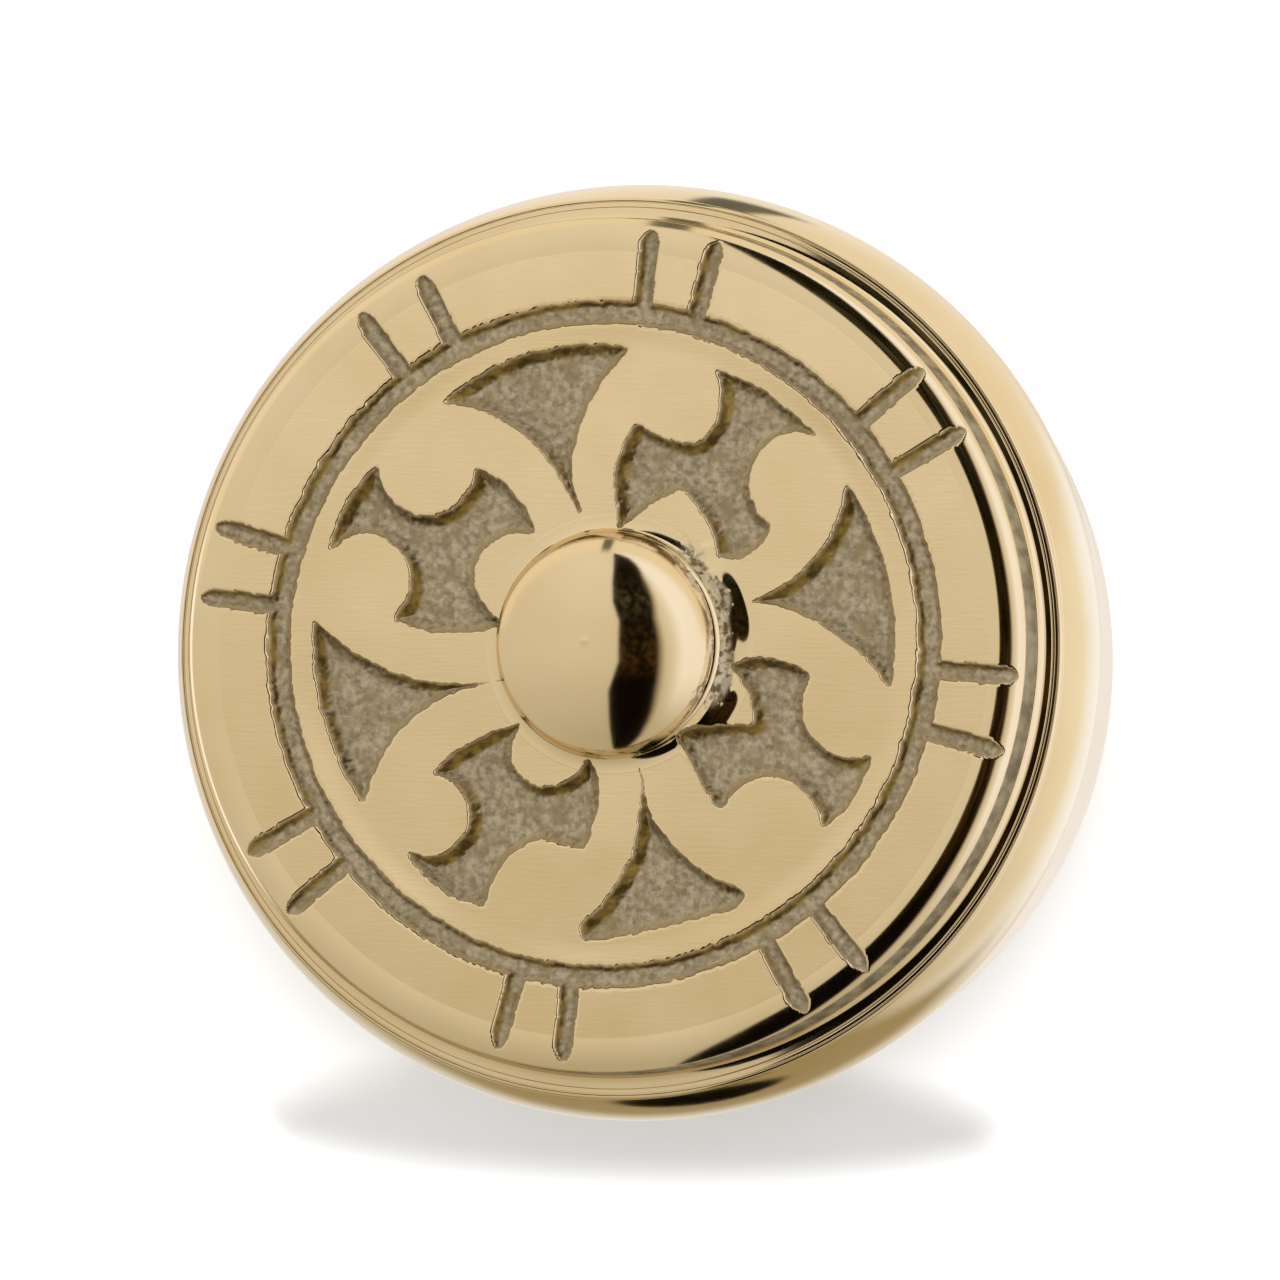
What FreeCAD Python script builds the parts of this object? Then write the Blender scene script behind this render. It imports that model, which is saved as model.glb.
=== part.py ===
"""Thick brass medallion token: a tapered turned body, a cast relief disc and a domed stud.

The three pieces share one axis, +Z. The token lies on its plain back, which is at zero, with the
ornamented face on top. Lengths are in millimetres.
"""

import FreeCAD
import Part
import math
import os

# Turned body
RIDGE_RADIUS = 20.0
RIDGE_HEIGHT = 11.3
BACK_RADIUS = 18.25
BACK_CHAMFER = 0.5
SHOULDER_RADIUS = 19.26
SHOULDER_CORNER = 0.3
COVE_FLOOR_HEIGHT = 15.8

# Relief disc
DISC_SEAT_HEIGHT = 13.8
DISC_SEAT_RADIUS = 18.8
DISC_WALL_RADIUS = 18.2
COVE_RADIUS = DISC_SEAT_RADIUS - DISC_WALL_RADIUS
FACE_HEIGHT = 19.1
FACE_EDGE_RADIUS = 1.85
FACE_EDGE_SWEEP = math.radians(53.0)

# Domed stud and the collar that its head sits on
SHANK_RADIUS = 3.0
TAIL_RADIUS = 4.2
TAIL_DEPTH = TAIL_RADIUS - SHANK_RADIUS
DOME_RADIUS = 4.8
DOME_EDGE_RADIUS = 4.3
DOME_FLANK_RISE = 0.94
DOME_CROWN_RADIUS = 6.0
COLLAR_RISE = 0.42
COLLAR_FILLET = 0.8

# Ornament sunk into the face
RECESS_DEPTH = 0.8
RING_RADIUS = 14.15
RING_WIDTH = 1.0
RING_DEPTH = 0.5
TICK_RADIUS = 0.42
TICK_START = 14.3
TICK_END = 18.4
TICK_PAIR_COUNT = 8
TICK_PAIR_SPREAD = 10.0
TICK_PAIR_OFFSET = -9.2
MOTIF_COUNT = 4

# Outlines in the face plane. Each is a closed run of arcs: a corner, a point on the arc that
# leaves it, the next corner, and so on.
WEDGE_OUTLINE = [
    (-7.4, 10.1),
    (-3.6, 12.3),
    (0.6, 12.65),
    (-1.35, 9.3),
    (-1.7, 5.6),
    (-3.4, 8.6),
]
THREE_ARM_OUTLINE = [
    (-10.0, 7.5),
    (-7.7, 5.3),
    (-5.7, 7.5),
    (-4.4, 6.2),
    (-3.5, 4.6),
    (-5.95, 2.9),
    (-4.8, 0.8),
    (-7.0, 0.4),
    (-9.1, 0.95),
    (-9.0, 3.8),
    (-12.1, 3.7),
    (-11.4, 5.7),
]

# Clearance left between two pieces that are fitted together
FIT_GAP = 0.02

TAPER = math.atan2(RIDGE_RADIUS - BACK_RADIUS, RIDGE_HEIGHT)
AXIS_ORIGIN = FreeCAD.Vector(0, 0, 0)
AXIS = FreeCAD.Vector(0, 0, 1)


def at(radius, height):
    """A point of a turned profile, in the plane through the axis."""
    return FreeCAD.Vector(radius, 0, height)


def line(start, end):
    return Part.LineSegment(start, end).toShape()


def profile_arc(centre, radius, start_angle, end_angle):
    """Arc of a turned profile; angles are measured from the radial direction, in radians."""
    angles = (start_angle, (start_angle + end_angle) / 2, end_angle)
    points = [centre + radius * at(math.cos(a), math.sin(a)) for a in angles]
    return Part.Arc(*points).toShape()


def end_of(edge):
    return edge.Vertexes[-1].Point


def start_of(edge):
    return edge.Vertexes[0].Point


def revolved(edges):
    """Solid of revolution about the axis from the closed profile that the edges make."""
    return Part.Face(Part.Wire(edges)).revolve(AXIS_ORIGIN, AXIS, 360)


def joined(*pieces):
    """Edges in order, with straight lines filling the gaps and closing the loop.

    A piece is a point or an edge that runs in the direction of travel.
    """
    edges = []
    firsts = []
    lasts = []
    for piece in pieces:
        is_point = isinstance(piece, FreeCAD.Vector)
        firsts.append(piece if is_point else start_of(piece))
        lasts.append(piece if is_point else end_of(piece))
    for index, piece in enumerate(pieces):
        if not isinstance(piece, FreeCAD.Vector):
            edges.append(piece)
        following = firsts[(index + 1) % len(pieces)]
        if (following - lasts[index]).Length > 1e-6:
            edges.append(line(lasts[index], following))
    return edges


def turned_body():
    """Tapered drum with a rounded shoulder, a seat for the disc and a countersunk bore."""
    bore = SHANK_RADIUS + FIT_GAP
    seat = DISC_SEAT_RADIUS + FIT_GAP
    corner_height = COVE_FLOOR_HEIGHT - SHOULDER_CORNER
    fall = RIDGE_RADIUS - SHOULDER_RADIUS
    rise = corner_height - RIDGE_HEIGHT
    shoulder = (fall**2 + rise**2) / (2 * fall)
    shoulder_centre = at(RIDGE_RADIUS - shoulder, RIDGE_HEIGHT)
    corner_centre = at(SHOULDER_RADIUS - SHOULDER_CORNER, corner_height)
    profile = joined(
        at(TAIL_RADIUS + FIT_GAP, 0),
        at(BACK_RADIUS - BACK_CHAMFER, 0),
        at(BACK_RADIUS + BACK_CHAMFER * math.tan(TAPER), BACK_CHAMFER),
        profile_arc(shoulder_centre, shoulder, 0, math.asin(rise / shoulder)),
        profile_arc(corner_centre, SHOULDER_CORNER, 0, math.pi / 2),
        at(seat, COVE_FLOOR_HEIGHT),
        at(seat, DISC_SEAT_HEIGHT),
        at(bore, DISC_SEAT_HEIGHT),
        at(bore, TAIL_DEPTH),
    )
    return revolved(profile)


def disc_blank():
    """Disc before its ornament: seat, cove, wall, rounded face edge and the collar."""
    bore = SHANK_RADIUS + FIT_GAP
    cove_top = COVE_FLOOR_HEIGHT + COVE_RADIUS
    edge_centre = at(
        DISC_WALL_RADIUS - FACE_EDGE_RADIUS * math.sin(FACE_EDGE_SWEEP),
        FACE_HEIGHT - FACE_EDGE_RADIUS,
    )
    collar_sweep = math.acos(1 - COLLAR_RISE / COLLAR_FILLET)
    collar_centre = at(
        DOME_RADIUS + COLLAR_FILLET * math.sin(collar_sweep),
        FACE_HEIGHT + COLLAR_FILLET,
    )
    profile = joined(
        at(bore, DISC_SEAT_HEIGHT),
        at(DISC_SEAT_RADIUS, DISC_SEAT_HEIGHT),
        profile_arc(at(DISC_SEAT_RADIUS, cove_top), COVE_RADIUS, -math.pi / 2, -math.pi),
        profile_arc(edge_centre, FACE_EDGE_RADIUS, math.pi / 2 - FACE_EDGE_SWEEP, math.pi / 2),
        profile_arc(collar_centre, COLLAR_FILLET, -math.pi / 2, -math.pi / 2 - collar_sweep),
        at(bore, FACE_HEIGHT + COLLAR_RISE),
    )
    return revolved(profile)


def recess(outline, turn):
    """Flat-floored recess whose outline is a closed run of arcs, turned about the axis."""
    points = [FreeCAD.Vector(x, y, FACE_HEIGHT - RECESS_DEPTH) for x, y in outline]
    edges = []
    for index in range(0, len(points), 2):
        corner = points[(index + 2) % len(points)]
        edges.append(Part.Arc(points[index], points[index + 1], corner).toShape())
    prism = Part.Face(Part.Wire(edges)).extrude(FreeCAD.Vector(0, 0, 2 * RECESS_DEPTH))
    prism.rotate(AXIS_ORIGIN, AXIS, turn)
    return prism


def ring_groove():
    inner = RING_RADIUS - RING_WIDTH / 2
    outer = RING_RADIUS + RING_WIDTH / 2
    floor = FACE_HEIGHT - RING_DEPTH
    return revolved(
        joined(
            at(inner, floor),
            at(outer, floor),
            at(outer, FACE_HEIGHT + RING_DEPTH),
            at(inner, FACE_HEIGHT + RING_DEPTH),
        )
    )


def tick(angle):
    """Round-bottomed radial cut from the ring groove out through the face edge."""
    direction = FreeCAD.Vector(1, 0, 0)
    start = FreeCAD.Vector(TICK_START, 0, FACE_HEIGHT)
    cut = Part.makeCylinder(TICK_RADIUS, TICK_END - TICK_START, start, direction)
    cut.rotate(AXIS_ORIGIN, AXIS, angle)
    return cut


def relief_disc():
    cuts = [ring_groove()]
    for index in range(MOTIF_COUNT):
        turn = index * 360 / MOTIF_COUNT
        cuts.append(recess(WEDGE_OUTLINE, turn))
        cuts.append(recess(THREE_ARM_OUTLINE, turn))
    for index in range(TICK_PAIR_COUNT):
        middle = TICK_PAIR_OFFSET + index * 360 / TICK_PAIR_COUNT
        cuts.append(tick(middle - TICK_PAIR_SPREAD / 2))
        cuts.append(tick(middle + TICK_PAIR_SPREAD / 2))
    return disc_blank().cut(cuts)


def domed_stud():
    """Rivet whose domed head shows on the face and whose tail fills the back countersink."""
    head_height = FACE_HEIGHT + COLLAR_RISE + FIT_GAP
    edge_height = head_height + DOME_FLANK_RISE
    edge_angle = math.acos(DOME_EDGE_RADIUS / DOME_CROWN_RADIUS)
    crown_centre = at(0, edge_height - DOME_CROWN_RADIUS * math.sin(edge_angle))
    profile = joined(
        at(0, 0),
        at(TAIL_RADIUS, 0),
        at(SHANK_RADIUS, TAIL_DEPTH),
        at(SHANK_RADIUS, head_height),
        at(DOME_RADIUS, head_height),
        profile_arc(crown_centre, DOME_CROWN_RADIUS, edge_angle, math.pi / 2),
    )
    return revolved(profile)


def main():
    os.makedirs("parts", exist_ok=True)
    parts = {
        "turned_body": turned_body(),
        "relief_disc": relief_disc(),
        "domed_stud": domed_stud(),
    }
    for name, shape in parts.items():
        solids = shape.Solids
        print(name, "solids", len(solids), "valid", shape.isValid(), "volume", round(shape.Volume, 1))
        solid = solids[0] if len(solids) == 1 else shape
        solid.exportStep(os.path.join("parts", name + ".step"))


main()
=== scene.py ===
"""Studio scene of a thick brass medallion token, with its three pieces remade in fine detail.

The frame's axes are the token's own: +Z along its axis, +Y to the top of its face, +X to the
right. The picture shows the token as if it stood on its tapered side, so the camera and the
tent's panels are laid out in that standing frame and turned into the token's frame.
"""

import math

import bpy
import numpy as np
from mathutils import Matrix, Vector


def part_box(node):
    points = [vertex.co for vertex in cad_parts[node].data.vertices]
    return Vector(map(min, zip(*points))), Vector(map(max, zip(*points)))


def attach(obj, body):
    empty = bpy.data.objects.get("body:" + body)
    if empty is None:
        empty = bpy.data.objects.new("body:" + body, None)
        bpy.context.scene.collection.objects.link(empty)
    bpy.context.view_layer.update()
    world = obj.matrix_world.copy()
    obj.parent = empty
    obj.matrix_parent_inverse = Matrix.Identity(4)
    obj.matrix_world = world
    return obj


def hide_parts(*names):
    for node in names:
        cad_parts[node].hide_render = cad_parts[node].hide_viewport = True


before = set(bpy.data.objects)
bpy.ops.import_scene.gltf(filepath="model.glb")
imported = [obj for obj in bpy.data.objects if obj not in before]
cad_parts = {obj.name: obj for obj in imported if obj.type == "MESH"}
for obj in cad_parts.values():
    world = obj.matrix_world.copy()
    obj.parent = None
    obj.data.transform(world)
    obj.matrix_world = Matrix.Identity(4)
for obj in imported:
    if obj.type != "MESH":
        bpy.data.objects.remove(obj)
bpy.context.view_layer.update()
MM = 0.001

# ---------------------------------------------------------------- sizes taken from the frame
BODY_LOW, BODY_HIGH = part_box("turned_body")
DISC_LOW, DISC_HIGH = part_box("relief_disc")
STUD_LOW, STUD_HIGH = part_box("domed_stud")
RIDGE_RADIUS = BODY_HIGH.x / MM
COVE_FLOOR = BODY_HIGH.z / MM
SEAT_RADIUS = DISC_HIGH.x / MM
SEAT_HEIGHT = DISC_LOW.z / MM
COLLAR_TOP = DISC_HIGH.z / MM
DOME_RADIUS = STUD_HIGH.x / MM
DOME_TOP = STUD_HIGH.z / MM

# ---------------------------------------------------------------- turned shape, millimetres
RIDGE_HEIGHT = 11.3
BACK_RADIUS = 18.25
BACK_CHAMFER = 0.5
SHOULDER_RADIUS = 19.26
SHOULDER_CORNER = 0.3
WALL_RADIUS = 18.2
FACE_HEIGHT = 19.1
FACE_EDGE_RADIUS = 1.85
FACE_EDGE_SWEEP = math.radians(53.0)
COLLAR_FILLET = 0.8
SHANK_RADIUS = 3.0
TAIL_RADIUS = 4.2
FIT_GAP = 0.02
BORE_RADIUS = SHANK_RADIUS + FIT_GAP
HEAD_HEIGHT = COLLAR_TOP + FIT_GAP
DOME_CROWN_RADIUS = 6.0
FLANK_SLOPE_LEFT = math.tan(math.radians(80.0))
FLANK_SLOPE_RIGHT = math.tan(math.radians(62.0))
FLANK_BLEND = 0.12
COVE_SWEEP_RADIUS = 0.75
SKIRT_RISE = 0.33
BOSS_SHIFT = 0.35
CROWN_SHIFT = -0.16
TURNING_FEED = 0.09

# ---------------------------------------------------------------- ornament, millimetres
RECESS_DEPTH = 0.8
RECESS_WALL_RUN = 0.55
CORNER_SOFTNESS = 0.2
RING_RADIUS = 14.15
RING_HALF_WIDTH = 0.52
RING_DEPTH = 0.52
TICK_HALF_WIDTH = 0.4
TICK_DEPTH = 0.5
TICK_TIP = 0.7
TICK_START = 14.2
# Degrees anticlockwise from +X
TICK_ANGLES = [41.9, 31.8, -3.0, -13.4, -49.0, -59.1, -94.0, -103.3]
TICK_ANGLES += [-138.8, -148.6, -185.3, -195.3, -231.3, -241.25, -274.8, -284.2]
TICK_ENDS = [18.1, 18.15, 18.1, 17.95, 18.05, 18.0, 17.8, 17.8]
TICK_ENDS += [17.9, 17.9, 17.75, 17.75, 17.8, 17.7, 17.75, 17.8]

# Each outline is a closed run of arcs: a corner, a point on the arc that leaves it, and so on
WEDGES = [
    [(-7.4, 10.1), (-3.9, 12.2), (0.8, 12.65), (-1.3, 9.4), (-1.55, 5.5), (-3.4, 8.6)],
    [(10.3, 7.2), (12.25, 3.0), (12.5, -1.65), (9.9, 0.85), (6.1, 1.95), (8.95, 3.75)],
    [
        (6.5, -10.3),
        (6.2, -11.0),
        (5.3, -11.3),
        (2.9, -12.0),
        (-0.2, -12.65),
        (-0.65, -12.3),
        (-0.5, -11.8),
        (1.45, -9.1),
        (1.35, -5.1),
        (3.0, -8.2),
    ],
    [(-12.65, 0.85), (-12.15, -3.1), (-10.2, -7.05), (-8.45, -3.55), (-4.5, -1.6), (-8.4, -1.6)],
]
THREE_ARMS = [
    [
        (-10.05, 7.5),
        (-7.7, 5.3),
        (-5.85, 7.4),
        (-4.5, 6.7),
        (-3.45, 4.6),
        (-5.95, 2.9),
        (-4.7, 0.8),
        (-7.0, 0.35),
        (-9.2, 0.9),
        (-8.5, 2.2),
        (-8.6, 3.3),
        (-9.8, 4.35),
        (-12.1, 3.6),
        (-11.4, 5.7),
    ],
    [
        (4.45, 11.85),
        (7.0, 10.65),
        (9.0, 9.05),
        (6.1, 7.6),
        (7.15, 5.2),
        (6.4, 4.15),
        (4.5, 3.85),
        (4.1, 5.5),
        (3.1, 6.75),
        (1.75, 6.1),
        (0.15, 4.9),
        (0.2, 7.3),
        (1.15, 9.5),
        (2.4, 8.8),
        (3.8, 8.6),
        (4.7, 9.9),
    ],
    [
        (5.15, -0.8),
        (7.1, -0.4),
        (9.05, -1.1),
        (8.9, -3.3),
        (11.8, -4.4),
        (11.2, -6.0),
        (9.75, -7.65),
        (7.35, -5.45),
        (5.35, -6.95),
        (4.2, -5.6),
        (2.9, -3.7),
        (4.8, -3.3),
        (6.65, -3.3),
        (6.3, -2.2),
    ],
    [
        (-3.85, -3.45),
        (-5.6, -4.25),
        (-7.25, -5.7),
        (-5.6, -7.5),
        (-8.25, -8.95),
        (-7.0, -10.4),
        (-4.75, -11.3),
        (-3.9, -9.2),
        (-2.3, -8.3),
        (-1.5, -8.55),
        (-0.55, -8.75),
        (-0.2, -6.9),
        (-0.9, -4.8),
        (-2.6, -6.1),
    ],
]

# ---------------------------------------------------------------- mesh density
FACE_SEGMENTS = 1440
FACE_RING_STEP = 0.065
BODY_SEGMENTS = 720
DOME_SEGMENTS = 480

# ---------------------------------------------------------------- camera, in the standing frame
LEAN = math.radians(8.803)
CAMERA_AZIMUTH = math.radians(12.15)
CAMERA_ELEVATION = math.radians(6.30)
CAMERA_DISTANCE = 2.0
VIEW_WIDTH = 0.054445
SENSOR = 36.0
AIM = Vector((1.364, 0.263, 18.089)) * MM
STANDING = Matrix.Rotation(math.pi / 2 - LEAN, 3, "X")
FROM_STANDING = STANDING.transposed()

# ---------------------------------------------------------------- colours of the metal
BRASS = (0.78, 0.62, 0.375)
BRASS_WARM = (0.745, 0.58, 0.33)
CAST_DARK = (0.145, 0.112, 0.065)
CAST_LIGHT = (0.295, 0.238, 0.150)
CAST_STREAK = (0.17, 0.125, 0.055)
# Painted shade, deep to pale, for cut walls that face the lower right, and a painted highlight for
# cut walls that face the upper left
PAINTED_WALL_SHADE_DEEP = (0.055, 0.03, 0.004)
PAINTED_WALL_SHADE_PALE = (0.22, 0.145, 0.03)
PAINTED_WALL_HIGHLIGHT = (0.42, 0.33, 0.18)
WORKED_DARK = (0.15, 0.115, 0.055)
WORKED_LIGHT = (0.31, 0.25, 0.145)
PITTED_DARK = (0.26, 0.175, 0.08)
PITTED_LIGHT = (0.80, 0.68, 0.46)

# ---------------------------------------------------------------- tent, in the standing frame
# Elevation and colour of the tent as a whole
TENT_COLOURS = [(-70, (0.60, 0.57, 0.49)), (0, (0.83, 0.80, 0.745)), (70, (0.95, 0.925, 0.90))]
TENT_BACK = (0.94, 0.88, 0.81)
TENT_RIM = (1.35, 1.38, 1.55)
# Azimuth and colour round the tent's right side
TENT_RIGHT = [
    (60, (1.0, 1.0, 1.05)),
    (72, (1.20, 1.25, 1.5)),
    (98, (1.18, 1.2, 1.4)),
    (124, (1.04, 1.0, 0.98)),
    (145, (1.07, 1.06, 1.0)),
    (153, (1.14, 1.2, 1.38)),
    (165, (1.16, 1.26, 1.5)),
    (172, TENT_BACK),
]
TENT_UNDER = (0.42, 0.35, 0.21)
TENT_ABOVE = (1.03, 0.97, 0.86)
# Elevation, then the azimuths of the opening's left and right edges
OPENING = [
    (-80, 7.0, 64.0),
    (-60, 7.0, 55.0),
    (-30, 7.0, 50.0),
    (-4, 16.5, 48.5),
    (27, 17.5, 48.5),
    (44, 11.0, 54.0),
    (62, 10.0, 58.0),
    (80, 12.0, 75.0),
]
# Elevation and colour inside the opening
OPENING_COLOURS = [
    (-20, (0.004, 0.002, 0.001)),
    (-2, (0.075, 0.038, 0.010)),
    (12, (0.05, 0.03, 0.008)),
    (25, (0.014, 0.011, 0.004)),
    (44, (0.085, 0.078, 0.045)),
    (60, (0.028, 0.022, 0.006)),
    (76, (0.014, 0.009, 0.003)),
]
OPENING_EDGE = (0.20, 0.14, 0.07)
ROOM_GREY = (0.17, 0.17, 0.14)
ROOM_DARK = (0.004, 0.003, 0.002)
# Azimuth and elevation
DARK_SPOT = (-174.0, -48.0)
CARD_TOP = (1.0, 0.97, 0.95)
CARD_FOOT = (0.67, 0.63, 0.51)
CARD_DISTANCE = 1.0
CARD_SIZE = 0.17
CARD_REACH = 0.027

# ---------------------------------------------------------------- flag in mm, floor and light in m
FLAG_HALF_WIDTH = 16.5
FLAG_HALF_DEPTH = 2.4
FLAG_PLACE = Vector((-1.4, -19.4, 3.0))
FLOOR_SIZE = 3.0
KEY_PLACE = (0.13, 0.10, 0.55)
KEY_WIDTH = 0.5
KEY_DEPTH = 0.4
KEY_ENERGY = 5.0


# ================================================================ small numeric helpers
def smoothstep(low, high, value):
    t = np.clip((value - low) / (high - low), 0.0, 1.0)
    return t * t * (3.0 - 2.0 * t)


def lattice_noise(x, y, z, scale, seed, size=48):
    """Smooth random field between -1 and 1 whose features are about `scale` across."""
    table = np.random.default_rng(seed).uniform(-1.0, 1.0, (size, size, size))
    low = []
    fraction = []
    for value in (x, y, z):
        cell = np.floor(value / scale)
        part = value / scale - cell
        low.append(cell.astype(int) % size)
        fraction.append(part * part * (3.0 - 2.0 * part))
    total = 0.0
    for i in (0, 1):
        for j in (0, 1):
            for k in (0, 1):
                weight = fraction[0] if i else 1.0 - fraction[0]
                weight = weight * (fraction[1] if j else 1.0 - fraction[1])
                weight = weight * (fraction[2] if k else 1.0 - fraction[2])
                corner = table[(low[0] + i) % size, (low[1] + j) % size, (low[2] + k) % size]
                total = total + weight * corner
    return total


def arc_points(start, middle, end, step=0.12):
    """Points along the circular arc through three points, leaving out the last."""
    a, b, c = (complex(*p) for p in (start, middle, end))
    w = (c - a) / (b - a)
    if abs(w.imag) < 1e-6:
        count = max(2, int(abs(c - a) / step))
        return [a + (c - a) * i / count for i in range(count)]
    centre = a + (b - a) * (w - abs(w) ** 2) / (2j * w.imag)
    radius = abs(a - centre)
    first = np.angle(a - centre)
    to_middle = (np.angle(b - centre) - first) % (2 * math.pi)
    to_end = (np.angle(c - centre) - first) % (2 * math.pi)
    sweep = to_end if to_middle < to_end else to_end - 2 * math.pi
    count = max(3, int(abs(sweep) * radius / step))
    turns = first + sweep * np.arange(count) / count
    return [centre + radius * complex(math.cos(t), math.sin(t)) for t in turns]


def outline_points(outline, step=0.12):
    """Points round an outline of arcs, with its corners softened."""
    points = []
    for index in range(0, len(outline), 2):
        corner = outline[(index + 2) % len(outline)]
        points += arc_points(outline[index], outline[index + 1], corner, step)
    reach = int(3 * CORNER_SOFTNESS / step)
    offsets = np.arange(-reach, reach + 1)
    weights = np.exp(-0.5 * (offsets * step / CORNER_SOFTNESS) ** 2)
    weights /= weights.sum()
    points = np.array(points)
    soft = sum(w * np.roll(points, offset) for w, offset in zip(weights, offsets))
    return np.stack([soft.real, soft.imag], axis=-1)


def depth_inside(x, y, outline):
    """Distance inside a closed outline; negative outside it."""
    ends = np.roll(outline, -1, axis=0)
    nearest = np.full(x.shape, 1e9)
    inside = np.zeros(x.shape, dtype=bool)
    for (ax, ay), (bx, by) in zip(outline, ends):
        dx, dy = bx - ax, by - ay
        t = np.clip(((x - ax) * dx + (y - ay) * dy) / (dx * dx + dy * dy), 0.0, 1.0)
        nearest = np.minimum(nearest, np.hypot(x - ax - t * dx, y - ay - t * dy))
        if dy != 0.0:
            crosses = (ay > y) != (by > y)
            inside ^= crosses & (x < dx * (y - ay) / dy + ax)
    return np.where(inside, nearest, -nearest)


# ================================================================ meshes turned about the axis
def profile_arc(centre, radius, start, end, count):
    """(radius, height) points along an arc of a turned profile; angles from the radial way."""
    angles = np.linspace(start, end, count)
    heights = centre[1] + radius * np.sin(angles)
    return list(zip(centre[0] + radius * np.cos(angles), heights))


def profile_line(start, end, step):
    """Evenly spaced points from start to end, both included."""
    count = max(2, int(math.hypot(end[0] - start[0], end[1] - start[1]) / step) + 1)
    return list(zip(np.linspace(start[0], end[0], count), np.linspace(start[1], end[1], count)))


def without_repeats(points):
    kept = [points[0]]
    for point in points[1:]:
        if math.dist(point, kept[-1]) > 1e-4:
            kept.append(point)
    if math.dist(kept[0], kept[-1]) < 1e-4:
        kept.pop()
    return np.array(kept)


def turned_grid(profile, segments):
    """Radius, angle and height of every vertex of a profile turned about the axis."""
    angles = np.arange(segments) * 2 * math.pi / segments
    radius = np.repeat(profile[:, 0][:, None], segments, axis=1)
    height = np.repeat(profile[:, 1][:, None], segments, axis=1)
    angle = np.repeat(angles[None, :], len(profile), axis=0)
    return radius, angle, height


def mesh_object(name, x, y, z, loop, poles=()):
    """Object from a grid of rings. A loop joins the last ring to the first; poles close it."""
    rings, segments = x.shape
    vertices = np.stack([x, y, z], axis=-1).reshape(-1, 3) * MM
    index = np.arange(rings * segments).reshape(rings, segments)
    after = np.roll(index, -1, axis=1)
    lower = index if loop else index[:-1]
    lower_after = after if loop else after[:-1]
    upper = np.roll(index, -1, axis=0) if loop else index[1:]
    upper_after = np.roll(after, -1, axis=0) if loop else after[1:]
    quads = np.stack([upper, upper_after, lower_after, lower], axis=-1).reshape(-1, 4).tolist()
    points = vertices.tolist()
    for ring, height, flip in poles:
        centre = len(points)
        points.append((x[ring].mean() * MM, y[ring].mean() * MM, height * MM))
        fan = np.stack([index[ring], after[ring]], axis=-1)
        for first, second in fan.tolist():
            quads.append([first, second, centre] if flip else [second, first, centre])
    mesh = bpy.data.meshes.new(name)
    mesh.from_pydata(points, [], quads)
    mesh.shade_smooth()
    mesh.validate()
    piece = bpy.data.objects.new(name, mesh)
    bpy.context.scene.collection.objects.link(piece)
    return piece


def store(piece, name, values):
    attribute = piece.data.attributes.new(name, "FLOAT", "POINT")
    padded = np.zeros(len(piece.data.vertices))
    flat = np.ravel(values)
    padded[: len(flat)] = flat
    attribute.data.foreach_set("value", padded)


def pitted_strip(x, y, radius):
    """Where the right flank of the boss is left as cast: a patchy strip beside the dome."""
    turn = np.degrees(np.arctan2(y, x))
    span = smoothstep(-34.0, -20.0, turn) * smoothstep(58.0, 40.0, turn)
    middle = 4.95 + 0.25 * lattice_noise(x, y, 0.0 * x, 1.1, 41)
    band = smoothstep(0.62, 0.3, np.abs(radius - middle))
    return span * band


def shifted_boss(x, radius):
    """Move the boss and its collar a little to the right, fading out across the face."""
    return x + BOSS_SHIFT * smoothstep(3.1, 4.5, radius) * smoothstep(8.0, 5.5, radius)


# ================================================================ relief disc
def disc_profile():
    """Closed profile of the disc, from the top of the collar out, round and back up the bore."""
    sweep = math.acos(1.0 - (COLLAR_TOP - FACE_HEIGHT) / COLLAR_FILLET)
    fillet_centre = (DOME_RADIUS + COLLAR_FILLET * math.sin(sweep), FACE_HEIGHT + COLLAR_FILLET)
    edge_centre = (
        WALL_RADIUS - FACE_EDGE_RADIUS * math.sin(FACE_EDGE_SWEEP),
        FACE_HEIGHT - FACE_EDGE_RADIUS,
    )
    cove_centre = (WALL_RADIUS + COVE_SWEEP_RADIUS, COVE_FLOOR + COVE_SWEEP_RADIUS)
    down = -math.pi / 2
    points = profile_line((BORE_RADIUS, COLLAR_TOP), (DOME_RADIUS, COLLAR_TOP), 0.6)
    points += profile_arc(fillet_centre, COLLAR_FILLET, down - sweep, down, 18)
    points += profile_line(points[-1], (edge_centre[0], FACE_HEIGHT), FACE_RING_STEP)
    flat = math.pi / 2
    points += profile_arc(edge_centre, FACE_EDGE_RADIUS, flat, flat - FACE_EDGE_SWEEP, 30)
    points += profile_line(points[-1], (WALL_RADIUS, cove_centre[1]), 0.1)
    points += profile_arc(cove_centre, COVE_SWEEP_RADIUS, -math.pi, -math.radians(120.0), 24)
    points += profile_line(points[-1], (SEAT_RADIUS, COVE_FLOOR), 0.04)
    points += profile_line((SEAT_RADIUS, COVE_FLOOR), (SEAT_RADIUS, SEAT_HEIGHT), 0.5)
    points += profile_line((SEAT_RADIUS, SEAT_HEIGHT), (BORE_RADIUS, SEAT_HEIGHT), 2.0)
    points += profile_line((BORE_RADIUS, SEAT_HEIGHT), (BORE_RADIUS, COLLAR_TOP), 1.0)
    return without_repeats(points)


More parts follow.
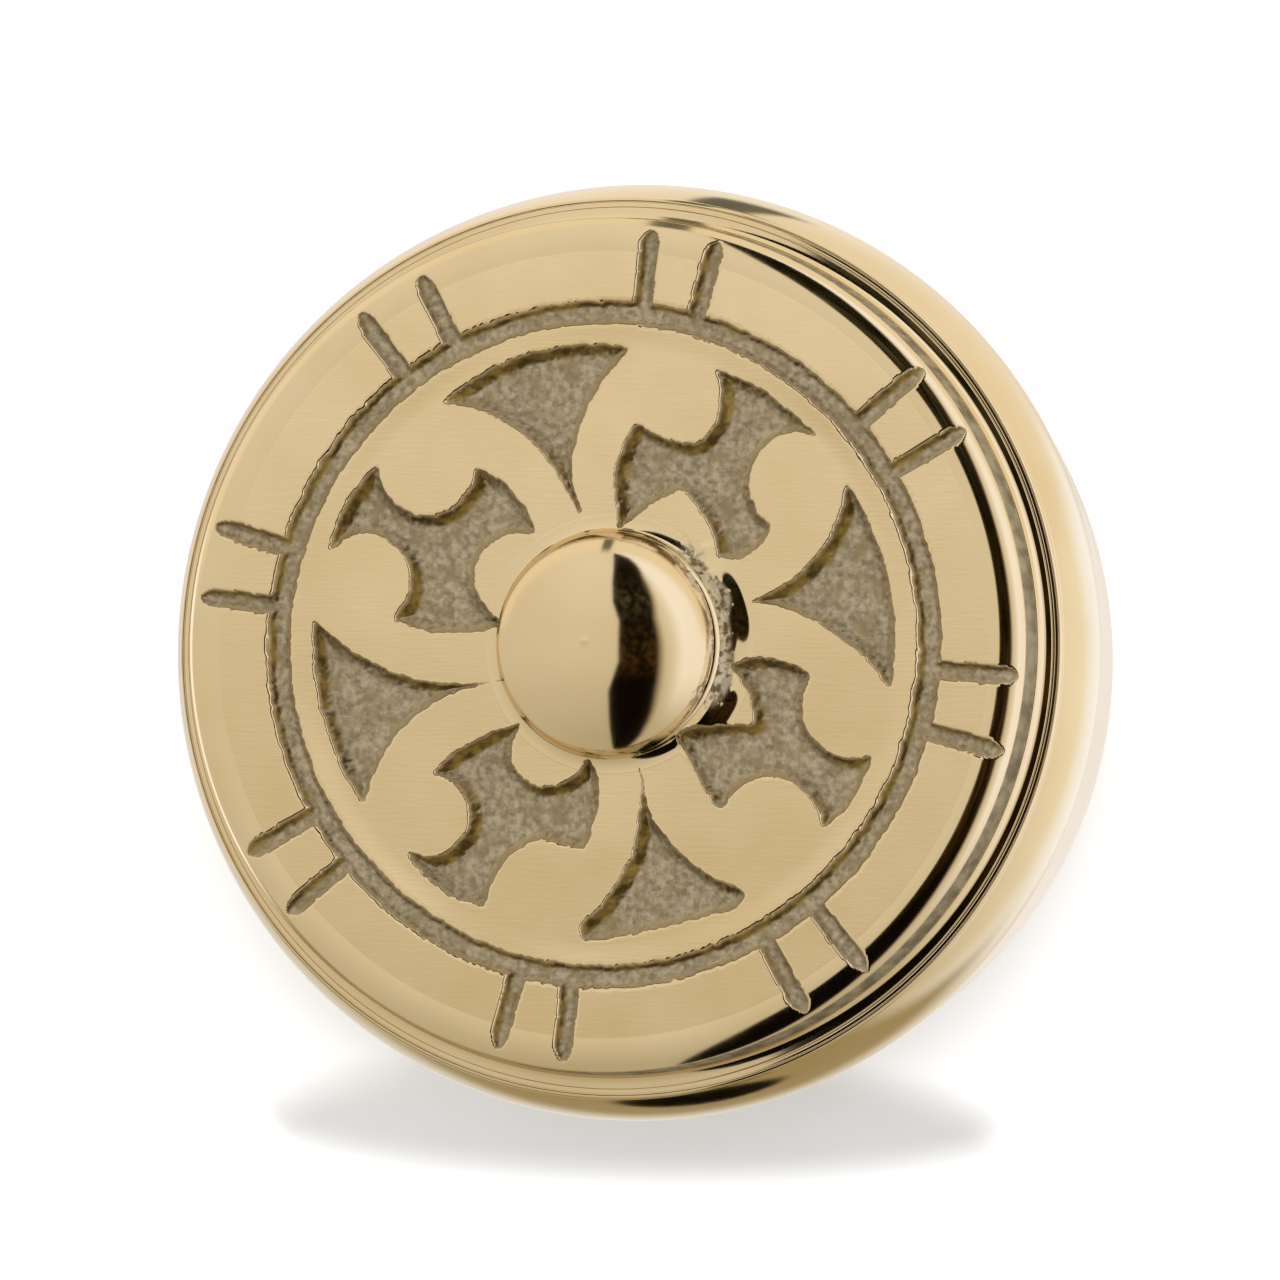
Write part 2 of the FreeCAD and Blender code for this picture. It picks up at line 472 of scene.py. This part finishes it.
def recess_field(x, y, ragged):
    """How far down each point of the face is cut by the wedges and three-armed recesses."""
    depth = np.zeros(x.shape)
    for outline in WEDGES + THREE_ARMS:
        points = outline_points(outline)
        low = points.min(axis=0) - 0.8
        high = points.max(axis=0) + 0.8
        near = (x > low[0]) & (x < high[0]) & (y > low[1]) & (y < high[1])
        inside = depth_inside(x[near], y[near], points) + ragged[near]
        run = np.clip((inside + 0.03) / RECESS_WALL_RUN, 0.0, 1.0)
        cut = 1.0 - (1.0 - run) ** 1.9
        depth[near] = np.maximum(depth[near], RECESS_DEPTH * cut)
    return depth


def groove_field(radius, x, y, ragged):
    """Depth of the ring groove and of the sixteen ticks that run out from it."""
    across = np.abs(radius - RING_RADIUS) + ragged
    depth = RING_DEPTH * smoothstep(RING_HALF_WIDTH + 0.05, 0.22, across)
    for turn, end in zip(TICK_ANGLES, TICK_ENDS):
        a = math.radians(turn)
        along = x * math.cos(a) + y * math.sin(a)
        aside = np.abs(y * math.cos(a) - x * math.sin(a)) + 0.7 * ragged
        tip = np.clip((along - end) / TICK_TIP + 1.0, 0.0, 1.0)
        taper = np.sqrt(1.0 - tip**2)
        start = smoothstep(TICK_START - 0.6, TICK_START, along)
        half_width = TICK_HALF_WIDTH * (0.05 + 0.95 * taper)
        section = np.clip(1.0 - (aside / half_width) ** 2, 0.0, 1.0)
        cut = TICK_DEPTH * np.sqrt(section) * start * (along < end)
        depth = np.maximum(depth, cut)
    return depth


def wall_facing(profile, radius, angle, depth):
    """Slope of the cut surface towards the lower right; negative towards the upper left."""
    steps = np.hypot(*np.diff(profile, axis=0).T)
    run = np.concatenate([[0.0], np.cumsum(steps)])
    outward = np.gradient(depth, run, axis=0)
    around = (np.roll(depth, -1, axis=1) - np.roll(depth, 1, axis=1)) / 2
    around = around / (radius * 2 * math.pi / depth.shape[1])
    right = outward * np.cos(angle) - around * np.sin(angle)
    up = outward * np.sin(angle) + around * np.cos(angle)
    return (right - up) / math.sqrt(2.0)


def skirt_rise(x, y, radius):
    """Height of the low slopes that run out from the right side of the collar."""
    turn = np.degrees(np.arctan2(y, x))
    upper = smoothstep(-12.0, 14.0, turn) * smoothstep(50.0, 24.0, turn)
    lower = smoothstep(-56.0, -38.0, turn) * smoothstep(-12.0, -26.0, turn)
    return SKIRT_RISE * smoothstep(6.3, 5.1, radius) * np.maximum(upper, lower)


def relief_disc():
    profile = disc_profile()
    radius, angle, height = turned_grid(profile, FACE_SEGMENTS)
    x, y = radius * np.cos(angle), radius * np.sin(angle)
    on_face = (height > FACE_HEIGHT - 1.0) & (radius > DOME_RADIUS + 0.01)
    rough_edge = 0.05 * lattice_noise(x, y, height, 0.3, 11)
    rough_edge += 0.05 * lattice_noise(x, y, height, 0.75, 12)
    rough_edge += 0.05 * lattice_noise(x, y, height, 0.15, 16)
    recess = recess_field(x, y, rough_edge)
    groove = groove_field(radius, x, y, rough_edge)
    depth = np.maximum(recess, groove)
    grain = 0.025 * lattice_noise(x, y, height, 0.16, 13)
    grain += 0.03 * lattice_noise(x, y, height, 0.35, 17)
    grain += 0.04 * lattice_noise(x, y, height, 0.9, 14)
    cast = smoothstep(0.03, 0.3, depth)
    cut_floor = FACE_HEIGHT - depth + grain * cast
    cut = on_face & (depth > 0.002) & (cut_floor < height)
    edge_wear = 0.012 * lattice_noise(x, y, height, 4.5, 15) - 0.012
    inner = smoothstep(RING_RADIUS, RING_RADIUS - 1.5, radius) * on_face
    lands = height + inner * edge_wear
    final = np.where(cut, np.minimum(cut_floor, lands), lands)
    facing = wall_facing(profile, radius, angle, np.where(on_face, depth, 0.0))
    final = np.where(on_face, np.minimum(final + skirt_rise(x, y, radius), COLLAR_TOP), final)
    x = np.where(height > FACE_HEIGHT - 1.0, shifted_boss(x, radius), x)
    pitted = pitted_strip(x, y, radius) * (height > FACE_HEIGHT - 0.01) * (1.0 - cast)
    pits = np.minimum(lattice_noise(x, y, height, 0.2, 42), 0.0)
    final = final + 0.09 * pitted * pits
    piece = mesh_object("disc_relief_surface", x, y, final, loop=True)
    store(piece, "pitted", pitted)
    store(piece, "cast", np.where(cut, cast, 0.0))
    # Painted shade on cut walls that face the lower right, and a painted highlight on those that
    # face the upper left
    store(piece, "painted_wall_shade", smoothstep(0.15, 0.9, facing) * cast)
    store(piece, "painted_wall_highlight", smoothstep(0.25, 1.3, -facing) * cast)
    upright = (height > COVE_FLOOR + 0.5) & (height < FACE_HEIGHT - 0.5)
    store(piece, "worked", (upright & (radius > WALL_RADIUS - 0.03)).astype(float))
    return piece


# ================================================================ turned body
def body_profile():
    """Closed profile of the body, from the seat's edge out over the shoulder and round the back."""
    corner_height = COVE_FLOOR - SHOULDER_CORNER
    fall = RIDGE_RADIUS - SHOULDER_RADIUS
    rise = corner_height - RIDGE_HEIGHT
    shoulder = (fall**2 + rise**2) / (2 * fall)
    centre = (RIDGE_RADIUS - shoulder, RIDGE_HEIGHT)
    corner = (SHOULDER_RADIUS - SHOULDER_CORNER, corner_height)
    seat = SEAT_RADIUS + FIT_GAP
    taper = (RIDGE_RADIUS - BACK_RADIUS) / RIDGE_HEIGHT
    side_foot = (BACK_RADIUS + BACK_CHAMFER * taper, BACK_CHAMFER)
    points = profile_line((seat, COVE_FLOOR), (corner[0], COVE_FLOOR), 0.015)
    points += profile_arc(corner, SHOULDER_CORNER, math.pi / 2, 0.0, 14)
    points += profile_arc(centre, shoulder, math.asin(rise / shoulder), 0.0, 70)
    points += profile_line((RIDGE_RADIUS, RIDGE_HEIGHT), side_foot, 0.15)
    points += profile_line(side_foot, (BACK_RADIUS - BACK_CHAMFER, 0.0), 0.12)
    points += profile_line((BACK_RADIUS - BACK_CHAMFER, 0.0), (TAIL_RADIUS + FIT_GAP, 0.0), 0.12)
    points += profile_line(points[-1], (BORE_RADIUS, TAIL_RADIUS - SHANK_RADIUS), 0.3)
    points += profile_line(points[-1], (BORE_RADIUS, SEAT_HEIGHT), 2.0)
    points += profile_line((BORE_RADIUS, SEAT_HEIGHT), (seat, SEAT_HEIGHT), 2.0)
    points += profile_line((seat, SEAT_HEIGHT), (seat, COVE_FLOOR), 0.5)
    return without_repeats(points)


def turned_body():
    profile = body_profile()
    radius, angle, height = turned_grid(profile, BODY_SEGMENTS)
    in_cove = (height > COVE_FLOOR - 0.02) & (radius > SEAT_RADIUS)
    lines = 0.5 + 0.5 * np.cos(2 * math.pi * radius / TURNING_FEED)
    fall = 0.35 * (radius - SEAT_RADIUS)
    height = height - np.where(in_cove, 0.006 * lines + fall, 0.0)
    on_back = (height < 0.01) & (radius > TAIL_RADIUS)
    back_lines = 0.5 + 0.5 * np.cos(2 * math.pi * radius / (4 * TURNING_FEED))
    height = height + np.where(on_back, 0.01 * back_lines, 0.0)
    x, y = radius * np.cos(angle), radius * np.sin(angle)
    outside = radius > SHOULDER_RADIUS - 0.5
    hand = lattice_noise(x, y, height, 6.0, 21) - 1.0
    radius = radius + np.where(outside & (height > 0.6), 0.006 * hand, 0.0)
    x, y = radius * np.cos(angle), radius * np.sin(angle)
    return mesh_object("body_turned_surface", x, y, height, loop=True)


# ================================================================ domed stud
def stud_profile():
    """Open profile of the stud, from near the top of the dome down to the middle of the tail."""
    points = profile_line((0.05, DOME_TOP), (DOME_RADIUS - 0.9, DOME_TOP), 0.05)
    points += profile_line(points[-1], (DOME_RADIUS, HEAD_HEIGHT), 0.03)
    points += profile_line((DOME_RADIUS, HEAD_HEIGHT), (SHANK_RADIUS, HEAD_HEIGHT), 0.4)
    points += profile_line(points[-1], (SHANK_RADIUS, TAIL_RADIUS - SHANK_RADIUS), 2.0)
    points += profile_line(points[-1], (TAIL_RADIUS, 0.0), 0.3)
    points += profile_line((TAIL_RADIUS, 0.0), (0.1, 0.0), 0.25)
    return without_repeats(points)


def dome_height(x, y, radius):
    """Polished crown, set a little to the left of the steep flank that rings it."""
    across = (x - CROWN_SHIFT) ** 2 + y**2
    crown = DOME_TOP - DOME_CROWN_RADIUS + np.sqrt(DOME_CROWN_RADIUS**2 - across)
    turn = np.degrees(np.arctan2(y, x))
    right = smoothstep(-75.0, -45.0, turn) * smoothstep(75.0, 50.0, turn)
    slope = FLANK_SLOPE_LEFT + right * (FLANK_SLOPE_RIGHT - FLANK_SLOPE_LEFT)
    flank = HEAD_HEIGHT + slope * (DOME_RADIUS - radius)
    gap = np.clip(0.5 + 0.5 * (flank - crown) / FLANK_BLEND, 0.0, 1.0)
    return flank * (1.0 - gap) + crown * gap - FLANK_BLEND * gap * (1.0 - gap)


def domed_stud():
    profile = stud_profile()
    radius, angle, height = turned_grid(profile, DOME_SEGMENTS)
    x, y = radius * np.cos(angle), radius * np.sin(angle)
    on_head = height > COLLAR_TOP + 0.01
    x = np.where(on_head, x + BOSS_SHIFT, x)
    dome = dome_height(x, y, radius)
    dome += 0.012 * (lattice_noise(x, y, dome, 2.2, 31) - 1.0)
    pitted = pitted_strip(x, y, radius)
    dome += 0.05 * pitted * lattice_noise(x, y, dome, 0.2, 32)
    top = np.minimum(dome, DOME_TOP)
    rim = smoothstep(DOME_RADIUS, DOME_RADIUS - 0.05, radius)
    shaped = HEAD_HEIGHT + rim * (top - HEAD_HEIGHT)
    height = np.where(on_head & (height > HEAD_HEIGHT - 0.01), shaped, height)
    underside = np.arange(len(profile)) > np.argmax(profile[:, 0])
    height[underside] = np.repeat(profile[underside, 1][:, None], DOME_SEGMENTS, axis=1)
    poles = [(0, height[0].mean(), True), (len(profile) - 1, 0.0, False)]
    piece = mesh_object("stud_dome_surface", x, y, height, loop=False, poles=poles)
    store(piece, "pitted", pitted * (profile[:, 1] > HEAD_HEIGHT)[:, None])
    return piece


# ================================================================ materials
def new_material(name):
    material = bpy.data.materials.new(name)
    material.use_nodes = True
    return material, material.node_tree.nodes, material.node_tree.links


def noise(nodes, links, source, scale, detail=3.0, stretch=None):
    """Noise texture in the object's own coordinates."""
    texture = nodes.new("ShaderNodeTexNoise")
    texture.inputs["Scale"].default_value = scale
    texture.inputs["Detail"].default_value = detail
    if stretch is None:
        links.new(source, texture.inputs["Vector"])
    else:
        mapping = nodes.new("ShaderNodeMapping")
        mapping.inputs["Scale"].default_value = stretch
        links.new(source, mapping.inputs["Vector"])
        links.new(mapping.outputs["Vector"], texture.inputs["Vector"])
    return texture.outputs["Fac"]


def ramp(nodes, links, source, stops):
    """Colour ramp through (position, colour) stops."""
    node = nodes.new("ShaderNodeValToRGB")
    elements = node.color_ramp.elements
    while len(elements) < len(stops):
        elements.new(0.5)
    for element, (position, colour) in zip(elements, stops):
        element.position = position
        element.color = (*colour, 1.0)
    links.new(source, node.inputs["Fac"])
    return node.outputs["Color"]


def mixed(nodes, links, factor, first, second):
    """Colour mix; first and second are sockets or plain colours."""
    node = nodes.new("ShaderNodeMix")
    node.data_type = "RGBA"
    links.new(factor, node.inputs["Factor"])
    colour_sockets = [s for s in node.inputs if s.type == "RGBA"]
    for socket, value in zip(colour_sockets, (first, second)):
        if isinstance(value, tuple):
            socket.default_value = (*value, 1.0)
        else:
            links.new(value, socket)
    return [s for s in node.outputs if s.type == "RGBA"][0]


def scaled(nodes, links, source, low, high):
    """Map 0..1 to low..high."""
    node = nodes.new("ShaderNodeMapRange")
    node.inputs["To Min"].default_value = low
    node.inputs["To Max"].default_value = high
    links.new(source, node.inputs["Value"])
    return node.outputs["Result"]


def summed(nodes, links, first, second):
    node = nodes.new("ShaderNodeMath")
    node.operation = "ADD"
    links.new(first, node.inputs[0])
    links.new(second, node.inputs[1])
    return node.outputs[0]


def attribute(nodes, name):
    node = nodes.new("ShaderNodeAttribute")
    node.attribute_name = name
    return node.outputs["Fac"]


def polished_brass(name, relief, pitted):
    """Hand-polished brass; with relief, its cast floors and walls are rough and darker, and the cut
    walls carry painted shade where they face the lower right and a painted highlight where they
    face the upper left.
    """
    material, nodes, links = new_material(name)
    shader = nodes["Principled BSDF"]
    place = nodes.new("ShaderNodeTexCoord").outputs["Object"]
    cloud = noise(nodes, links, place, 180.0, 2.0)
    colour = ramp(nodes, links, cloud, [(0.35, BRASS_WARM), (0.62, BRASS)])
    haze = noise(nodes, links, place, 900.0, 4.0)
    roughness = scaled(nodes, links, haze, 0.06, 0.13)
    shader.inputs["Metallic"].default_value = 1.0
    scratch = noise(nodes, links, place, 900.0, 5.0, (1.0, 9.0, 1.0))
    bump = nodes.new("ShaderNodeBump")
    bump.inputs["Strength"].default_value = 0.02
    bump.inputs["Distance"].default_value = 0.00005
    links.new(scratch, bump.inputs["Height"])
    normal = bump.outputs["Normal"]
    if pitted:
        pit = attribute(nodes, "pitted")
        crumbs = noise(nodes, links, place, 3200.0, 3.0)
        crumb_colour = ramp(nodes, links, crumbs, [(0.38, PITTED_DARK), (0.52, PITTED_LIGHT)])
        colour = mixed(nodes, links, pit, colour, crumb_colour)
        roughness = summed(nodes, links, roughness, scaled(nodes, links, pit, 0.0, 0.45))
    if relief:
        cast = attribute(nodes, "cast")
        grain = noise(nodes, links, place, 3800.0, 6.0)
        patch = noise(nodes, links, place, 1300.0, 4.0)
        floor = ramp(nodes, links, grain, [(0.34, CAST_DARK), (0.64, CAST_LIGHT)])
        streak = ramp(nodes, links, patch, [(0.5, (0.0, 0.0, 0.0)), (0.68, (0.8, 0.8, 0.8))])
        floor = mixed(nodes, links, streak, floor, CAST_STREAK)
        # Painted shade on the cut walls that face the lower right, then a painted highlight on
        # those that face the upper left
        painted_wall_shade = ramp(nodes, links, patch, [(0.4, PAINTED_WALL_SHADE_DEEP), (0.62, PAINTED_WALL_SHADE_PALE)])
        sunk = mixed(nodes, links, attribute(nodes, "painted_wall_shade"), floor, painted_wall_shade)
        painted_wall_highlight = scaled(nodes, links, attribute(nodes, "painted_wall_highlight"), 0.0, 0.7)
        sunk = mixed(nodes, links, painted_wall_highlight, sunk, PAINTED_WALL_HIGHLIGHT)
        colour = mixed(nodes, links, cast, colour, sunk)
        worked = attribute(nodes, "worked")
        rubbed = noise(nodes, links, place, 1500.0, 4.0, (1.0, 1.0, 0.3))
        tarnish = ramp(nodes, links, rubbed, [(0.38, WORKED_DARK), (0.62, WORKED_LIGHT)])
        colour = mixed(nodes, links, worked, colour, tarnish)
        rough = summed(nodes, links, cast, worked)
        roughness = summed(nodes, links, roughness, scaled(nodes, links, rough, 0.0, 0.42))
        links.new(scaled(nodes, links, rough, 1.0, 0.4), shader.inputs["Metallic"])
        coarse = nodes.new("ShaderNodeBump")
        coarse.inputs["Distance"].default_value = 0.00003
        links.new(cast, coarse.inputs["Strength"])
        links.new(grain, coarse.inputs["Height"])
        links.new(normal, coarse.inputs["Normal"])
        normal = coarse.outputs["Normal"]
    links.new(colour, shader.inputs["Base Color"])
    links.new(roughness, shader.inputs["Roughness"])
    links.new(normal, shader.inputs["Normal"])
    return material


# ================================================================ tent, floor and camera
class DirectionNodes:
    """World nodes that work on the direction looked in, measured in the standing frame."""

    def __init__(self, tree):
        self.nodes = tree.nodes
        self.links = tree.links
        self.direction = self.nodes.new("ShaderNodeTexCoord").outputs["Generated"]

    def value(self, operation, *inputs):
        node = self.nodes.new("ShaderNodeMath")
        node.operation = operation
        for socket, item in zip(node.inputs, inputs):
            if isinstance(item, (int, float)):
                socket.default_value = item
            else:
                self.links.new(item, socket)
        return node.outputs[0]

    def along(self, axis):
        """How far the direction points along a standing axis."""
        node = self.nodes.new("ShaderNodeVectorMath")
        node.operation = "DOT_PRODUCT"
        self.links.new(self.direction, node.inputs[0])
        node.inputs[1].default_value = FROM_STANDING @ Vector(axis)
        return node.outputs["Value"]

    def azimuth(self):
        """Degrees to the right of the token's front."""
        turn = self.value("ARCTAN2", self.along((1, 0, 0)), self.along((0, -1, 0)))
        return self.value("MULTIPLY", turn, 180.0 / math.pi)

    def elevation(self):
        rise = self.value("ARCSINE", self.along((0, 0, 1)))
        return self.value("MULTIPLY", rise, 180.0 / math.pi)

    def step(self, source, low, high):
        """Soft step from 0 to 1 as the source goes from low to high."""
        node = self.nodes.new("ShaderNodeMapRange")
        node.interpolation_type = "SMOOTHSTEP"
        for name, item in (("Value", source), ("From Min", low), ("From Max", high)):
            if isinstance(item, (int, float)):
                node.inputs[name].default_value = item
            else:
                self.links.new(item, node.inputs[name])
        return node.outputs["Result"]

    def mix(self, factor, first, second):
        return mixed(self.nodes, self.links, factor, first, second)


def heading(azimuth, elevation):
    """Direction in the standing frame, from degrees."""
    a, e = math.radians(azimuth), math.radians(elevation)
    return (math.sin(a) * math.cos(e), -math.cos(a) * math.cos(e), math.sin(e))


def by_elevation(kit, elevation, stops):
    """Colour that changes with elevation through (degrees, colour) stops."""
    place = kit.value("MULTIPLY_ADD", elevation, 1.0 / 180.0, 0.5)
    spread = [(degrees / 180.0 + 0.5, colour) for degrees, colour in stops]
    return ramp(kit.nodes, kit.links, place, spread)


def opening_edge(kit, elevation, side):
    """Azimuth of the opening's left (1) or right (2) edge at an elevation."""
    stops = [(row[0], (row[side] / 90.0,) * 3) for row in OPENING]
    return kit.value("MULTIPLY", by_elevation(kit, elevation, stops), 90.0)


def light_tent():
    """White tent with a dark upright opening on its right, for the metal to reflect."""
    world = bpy.data.worlds.new("tent")
    bpy.context.scene.world = world
    world.use_nodes = True
    tree = world.node_tree
    kit = DirectionNodes(tree)
    azimuth = kit.azimuth()
    elevation = kit.elevation()
    sideways = kit.along((1, 0, 0))
    rear = kit.along((0, 1, 0))
    behind = kit.step(rear, -0.05, 0.1)
    tent = by_elevation(kit, elevation, TENT_COLOURS)
    tent = kit.mix(kit.step(rear, 0.9, 0.97), tent, TENT_BACK)
    flank = kit.value("MULTIPLY", kit.step(azimuth, 52.0, 72.0), kit.step(elevation, -60.0, -8.0))
    turn = kit.value("MULTIPLY", azimuth, 1.0 / 180.0)
    around = [(degrees / 180.0, colour) for degrees, colour in TENT_RIGHT]
    tent = kit.mix(flank, tent, ramp(kit.nodes, kit.links, turn, around))
    outward = kit.along((0, -math.cos(LEAN), math.sin(LEAN)))
    strip = kit.value("MULTIPLY", kit.step(outward, -0.2, -0.25), kit.step(outward, -0.52, -0.47))
    strip = kit.value("MULTIPLY", strip, kit.step(sideways, -0.05, -0.15))
    tent = kit.mix(strip, tent, TENT_RIM)
    under = kit.value("MULTIPLY", behind, kit.step(elevation, -22.0, -36.0))
    under = kit.value("MULTIPLY", under, kit.step(sideways, 0.38, 0.24))
    tent = kit.mix(under, tent, TENT_UNDER)
    upper = kit.value("MULTIPLY", behind, kit.step(elevation, 2.0, 14.0))
    tent = kit.mix(upper, tent, TENT_ABOVE)
    above = kit.value("MULTIPLY", behind, kit.step(elevation, 15.0, 21.0))
    near = kit.step(sideways, -0.035, -0.055)
    patch = kit.value("MULTIPLY", kit.step(sideways, -0.15, -0.13), near)
    tent = kit.mix(kit.value("MULTIPLY", patch, above), tent, ROOM_GREY)
    spot = kit.step(kit.along(heading(*DARK_SPOT)), math.cos(0.15), math.cos(0.11))
    tent = kit.mix(spot, tent, ROOM_DARK)
    left = opening_edge(kit, elevation, 1)
    right = opening_edge(kit, elevation, 2)
    opened = kit.step(azimuth, kit.value("SUBTRACT", left, 1.5), kit.value("ADD", left, 1.5))
    closed = kit.step(azimuth, kit.value("ADD", right, 8.0), kit.value("SUBTRACT", right, 1.5))
    inside = by_elevation(kit, elevation, OPENING_COLOURS)
    mottle = noise(kit.nodes, kit.links, kit.direction, 14.0, 4.0)
    inside = kit.mix(kit.step(mottle, 0.62, 0.42), inside, ROOM_DARK)
    rim = kit.step(azimuth, kit.value("SUBTRACT", right, 3.0), kit.value("ADD", right, 3.0))
    inside = kit.mix(rim, inside, OPENING_EDGE)
    colour = kit.mix(kit.value("MULTIPLY", opened, closed), tent, inside)
    background = tree.nodes["Background"]
    tree.links.new(colour, background.inputs["Color"])
    background.inputs["Strength"].default_value = 1.0


def stage_square(name, size, material):
    """Square of the given side about its own origin, looking along its own +Z."""
    half = size / 2
    mesh = bpy.data.meshes.new(name)
    rim = [(-half, -half, 0), (half, -half, 0), (half, half, 0), (-half, half, 0)]
    mesh.from_pydata(rim, [], [(0, 1, 2, 3)])
    mesh.materials.append(material)
    square = bpy.data.objects.new(name, mesh)
    bpy.context.scene.collection.objects.link(square)
    return square


def pale_floor():
    """Wide pale surface that the token lies on."""
    material, nodes, links = new_material("floor_pale")
    shader = nodes["Principled BSDF"]
    shader.inputs["Base Color"].default_value = (0.6, 0.6, 0.6, 1.0)
    shader.inputs["Roughness"].default_value = 0.9
    shader.inputs["Specular IOR Level"].default_value = 0.1
    shader.inputs["Emission Color"].default_value = (1.0, 1.0, 1.0, 1.0)
    shader.inputs["Emission Strength"].default_value = 0.36
    floor = stage_square("floor", FLOOR_SIZE, material)
    floor.visible_glossy = False


def shadow_flag():
    """Small unseen oval just above the floor, for the flat soft shadow below the token."""
    turns = np.arange(48) * 2 * math.pi / 48
    across = FLAG_HALF_WIDTH * np.cos(turns)
    rim = np.stack([across, FLAG_HALF_DEPTH * np.sin(turns), 0.0 * turns], axis=-1) * MM
    mesh = bpy.data.meshes.new("shadow_flag")
    mesh.from_pydata(rim.tolist(), [], [tuple(range(48))])
    mesh.materials.append(new_material("flag_black")[0])
    flag = bpy.data.objects.new("shadow_flag", mesh)
    flag.location = FLAG_PLACE * MM
    bpy.context.scene.collection.objects.link(flag)
    flag.visible_camera = False
    flag.visible_glossy = False


def front_card():
    """Unseen glowing card that the face mirrors: white above, dimmer and warmer below."""
    material, nodes, links = new_material("card_front")
    place = nodes.new("ShaderNodeTexCoord").outputs["Object"]
    split = nodes.new("ShaderNodeSeparateXYZ")
    links.new(place, split.inputs[0])
    rise = nodes.new("ShaderNodeMapRange")
    rise.inputs["From Min"].default_value = -CARD_REACH
    rise.inputs["From Max"].default_value = CARD_REACH
    links.new(split.outputs["Y"], rise.inputs["Value"])
    colour = mixed(nodes, links, rise.outputs["Result"], CARD_FOOT, CARD_TOP)
    glow = nodes.new("ShaderNodeEmission")
    links.new(colour, glow.inputs["Color"])
    clear = nodes.new("ShaderNodeBsdfTransparent")
    length = nodes.new("ShaderNodeVectorMath")
    length.operation = "LENGTH"
    links.new(place, length.inputs[0])
    fade = nodes.new("ShaderNodeMapRange")
    fade.interpolation_type = "SMOOTHSTEP"
    fade.inputs["From Min"].default_value = 0.25 * CARD_SIZE
    fade.inputs["From Max"].default_value = 0.5 * CARD_SIZE
    links.new(length.outputs["Value"], fade.inputs["Value"])
    blend = nodes.new("ShaderNodeMixShader")
    links.new(fade.outputs["Result"], blend.inputs["Fac"])
    links.new(glow.outputs[0], blend.inputs[1])
    links.new(clear.outputs[0], blend.inputs[2])
    links.new(blend.outputs[0], nodes["Material Output"].inputs["Surface"])
    card = stage_square("card_front", CARD_SIZE, material)
    view = camera_back()
    mirrored = Vector((-view.x, -view.y, view.z))
    face = Vector((0.0, 0.0, FACE_HEIGHT * MM))
    across = Vector((0.0, 1.0, 0.0)).cross(-mirrored).normalized()
    turn = Matrix((across, (-mirrored).cross(across), -mirrored)).transposed().to_4x4()
    card.matrix_world = Matrix.Translation(face + mirrored * CARD_DISTANCE) @ turn
    card.visible_camera = False
    card.visible_diffuse = False
    card.visible_shadow = False


def key_light():
    """Soft light from the top of the picture, for the floor alone."""
    data = bpy.data.lights.new("key", "AREA")
    data.shape = "RECTANGLE"
    data.size = KEY_WIDTH
    data.size_y = KEY_DEPTH
    data.energy = KEY_ENERGY
    key = bpy.data.objects.new("key", data)
    key.location = KEY_PLACE
    key.rotation_euler = (-key.location).to_track_quat("-Z", "Y").to_euler()
    key.visible_glossy = False
    bpy.context.scene.collection.objects.link(key)


def camera_back():
    """Direction from the token to the camera, in the token's frame."""
    side = math.sin(CAMERA_AZIMUTH) * math.cos(CAMERA_ELEVATION)
    front = -math.cos(CAMERA_AZIMUTH) * math.cos(CAMERA_ELEVATION)
    return FROM_STANDING @ Vector((side, front, math.sin(CAMERA_ELEVATION)))


def make_camera():
    back = camera_back()
    upright = (STANDING @ back).to_track_quat("Z", "Y").to_matrix()
    data = bpy.data.cameras.new("camera")
    data.sensor_width = SENSOR
    data.lens = SENSOR * CAMERA_DISTANCE / VIEW_WIDTH
    data.clip_start = 0.01
    data.clip_end = 10.0
    camera = bpy.data.objects.new("camera", data)
    turn = (FROM_STANDING @ upright).to_4x4()
    camera.matrix_world = Matrix.Translation(AIM + back * CAMERA_DISTANCE) @ turn
    bpy.context.scene.collection.objects.link(camera)
    bpy.context.scene.camera = camera


def add_piece(piece, node, material):
    piece.data.materials.append(material)
    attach(piece, "root")
    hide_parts(node)


add_piece(turned_body(), "turned_body", polished_brass("turned_brass_polished", False, False))
add_piece(relief_disc(), "relief_disc", polished_brass("relief_brass_polished", True, True))
add_piece(domed_stud(), "domed_stud", polished_brass("stud_brass_polished", False, True))
light_tent()
pale_floor()
shadow_flag()
front_card()
key_light()
make_camera()
bpy.context.scene.view_settings.view_transform = "Standard"
